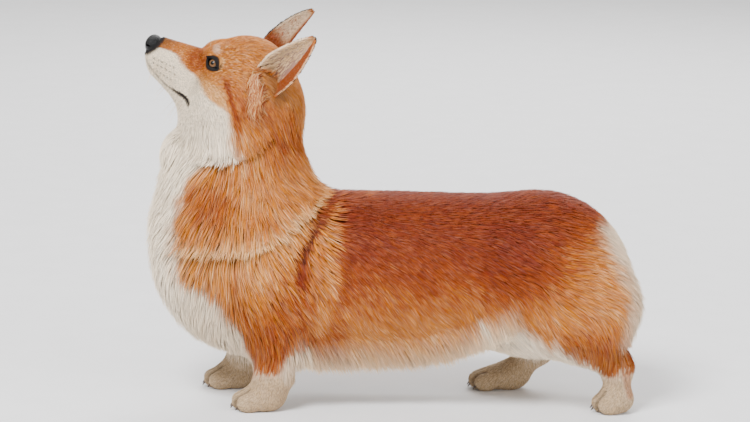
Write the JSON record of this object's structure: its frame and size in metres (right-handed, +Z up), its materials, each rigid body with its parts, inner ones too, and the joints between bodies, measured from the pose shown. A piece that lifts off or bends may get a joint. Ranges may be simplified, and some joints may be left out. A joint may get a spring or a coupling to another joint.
{
  "type": "pembroke welsh corgi",
  "caption": "Life-size standing Pembroke Welsh Corgi, head raised, with cupped ears and long coat locks at neck, chest, belly and breeches.",
  "frame": {"origin": "on the floor, under the middle of the dog's length and width", "axes": "+X from the nose towards the rump, so the dog faces -X; +Y towards its right side, away from the camera; +Z up"},
  "size_m": [0.678, 0.2206, 0.5201],
  "materials": {
    "red_coat": "long, dense, straight red coat, golden on the flanks",
    "white_coat": "cream-white coat",
    "ear": "short red fur outside, cream and pink inside",
    "eye": "wet dark brown",
    "nose": "black, pebbled, slightly moist"
  },
  "bodies": {
    "root": {"head": "red_coat", "ear_left": "ear", "ear_right": "ear", "eye_left": "eye", "eye_right": "eye", "nose": "nose", "neck": "red_coat", "chest": "red_coat", "barrel": "red_coat", "rump": "red_coat", "tail_stub": "red_coat", "foreleg_left": "red_coat", "foreleg_right": "red_coat", "forepaw_left": "white_coat", "forepaw_right": "white_coat", "thigh_left": "red_coat", "thigh_right": "red_coat", "hock_left": "white_coat", "hock_right": "white_coat", "hindpaw_left": "white_coat", "hindpaw_right": "white_coat"}
  },
  "joints": []
}
